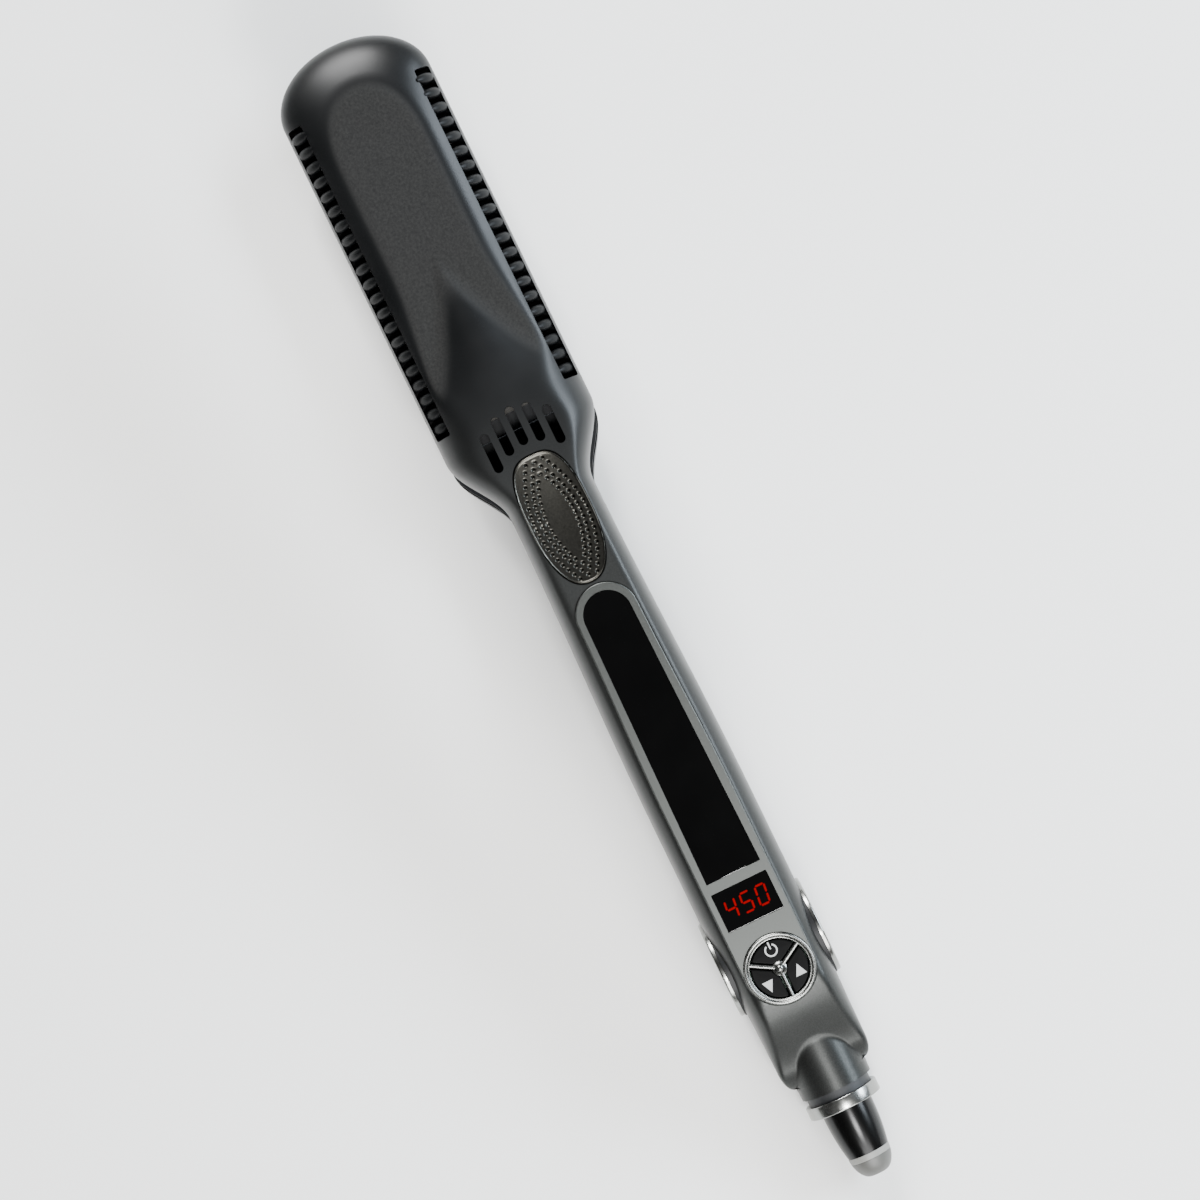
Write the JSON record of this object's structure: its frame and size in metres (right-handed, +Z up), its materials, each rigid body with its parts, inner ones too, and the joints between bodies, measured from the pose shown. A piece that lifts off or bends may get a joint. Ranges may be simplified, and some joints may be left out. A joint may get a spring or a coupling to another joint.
{
  "type": "hair straightener",
  "caption": "Flat hair iron with two sprung arms, wide floating plates, a display panel, sector keys and a swivel cord boot.",
  "frame": {"origin": "under the middle of the open iron, on the surface that the lower arm lies on", "axes": "+X from the head to the tail, +Y across the width, +Z up; the upper arm is the one with the display"},
  "size_m": [0.3349, 0.043, 0.066],
  "materials": {
    "shell_black": "satin moulded, soft-touch lacquer",
    "shell_gunmetal": "satin metallic lacquer",
    "inner_plastic": "moulded",
    "vent_plastic": "moulded",
    "titanium_plate": "titanium-coated, satin polished",
    "heater_ceramic": "film-wrapped ceramic",
    "carrier_resin": "glass-filled, heat proof",
    "spring_steel": "drawn wire",
    "screw_steel": "zinc plated",
    "pin_steel": "ground",
    "bush_brass": "turned",
    "hinge_resin": "glass-filled",
    "bright_chrome": "plated",
    "pad_metal": "satin metallic, dimpled",
    "bezel_silver": "fine satin silver lacquer",
    "window_black": "clear over black, gloss",
    "led_red": "lit",
    "board_green": "solder resist",
    "switch_black": "moulded",
    "key_rubber": "satin",
    "boot_gloss": "gloss moulded",
    "tip_grey": "matt moulded",
    "fuse_body": "plain"
  },
  "bodies": {
    "lower_arm": {"lower_shell": "shell_black", "lower_inner_cover": "inner_plastic", "lower_plate_frame": "inner_plastic", "lower_vent_left": "vent_plastic", "lower_vent_right": "vent_plastic", "lower_cushion_springs": "spring_steel", "lower_cover_screws": "screw_steel", "hinge_tongue": "hinge_resin", "hinge_bushes": "bush_brass", "opening_spring": "spring_steel"},
    "lower_floating_plate": {"lower_plate": "titanium_plate", "lower_heater": "heater_ceramic", "lower_plate_carrier": "carrier_resin"},
    "upper_arm": {"upper_shell": "shell_black", "upper_inner_cover": "inner_plastic", "upper_plate_frame": "inner_plastic", "upper_vent_left": "vent_plastic", "upper_vent_right": "vent_plastic", "upper_cushion_springs": "spring_steel", "upper_cover_screws": "screw_steel", "hinge_yoke": "hinge_resin", "hinge_pin": "pin_steel", "hinge_cap_left": "bright_chrome", "hinge_cap_right": "bright_chrome", "tail_cover": "shell_gunmetal", "tail_cover_screws": "screw_steel", "tail_collar": "bright_chrome", "swivel_bush": "hinge_resin", "thermal_fuse": "fuse_body", "thumb_pad": "pad_metal", "display_bezel": "bezel_silver", "display_window": "window_black", "temperature_window": "window_black", "led_module": "led_red", "control_ring": "bright_chrome", "control_board": "board_green", "key_switches": "switch_black"},
    "upper_floating_plate": {"upper_plate": "titanium_plate", "upper_heater": "heater_ceramic", "upper_plate_carrier": "carrier_resin"},
    "power_button": {"power_key": "key_rubber"},
    "down_button": {"down_key": "key_rubber"},
    "up_button": {"up_key": "key_rubber"},
    "cord_swivel": {"swivel_stem": "hinge_resin", "swivel_boot": "boot_gloss", "boot_tip": "tip_grey"}
  },
  "joints": [
    {"name": "arm_hinge", "type": "hinge", "parent": "lower_arm", "child": "upper_arm", "pos_m": [0.10088, 0, 0.0175], "axis": [0, -1, 0], "range_deg": [0, 8], "stiffness_Nm_per_rad": 3, "springref_deg": -8.02, "deforming": ["opening_spring"]},
    {"name": "lower_plate_float", "type": "slide", "parent": "lower_arm", "child": "lower_floating_plate", "axis": [0, 0, -1], "range_m": [0, 0.001], "stiffness_N_per_m": 1500, "springref_m": -0.0015, "deforming": ["lower_cushion_springs"]},
    {"name": "upper_plate_float", "type": "slide", "parent": "upper_arm", "child": "upper_floating_plate", "axis": [0.1392, 0, 0.9903], "range_m": [0, 0.001], "stiffness_N_per_m": 1500, "springref_m": -0.0015, "deforming": ["upper_cushion_springs"]},
    {"name": "power_press", "type": "slide", "parent": "upper_arm", "child": "power_button", "axis": [-0.1392, 0, -0.9903], "range_m": [0, 0.0006], "stiffness_N_per_m": 800, "springref_m": -0.0006},
    {"name": "down_press", "type": "slide", "parent": "upper_arm", "child": "down_button", "axis": [-0.1392, 0, -0.9903], "range_m": [0, 0.0006], "stiffness_N_per_m": 800, "springref_m": -0.0006},
    {"name": "up_press", "type": "slide", "parent": "upper_arm", "child": "up_button", "axis": [-0.1392, 0, -0.9903], "range_m": [0, 0.0006], "stiffness_N_per_m": 800, "springref_m": -0.0006},
    {"name": "cord_swivel_turn", "type": "hinge", "parent": "upper_arm", "child": "cord_swivel", "pos_m": [0.13802, 0, 0.01228], "axis": [0.9903, 0, -0.1392], "continuous": true}
  ]
}
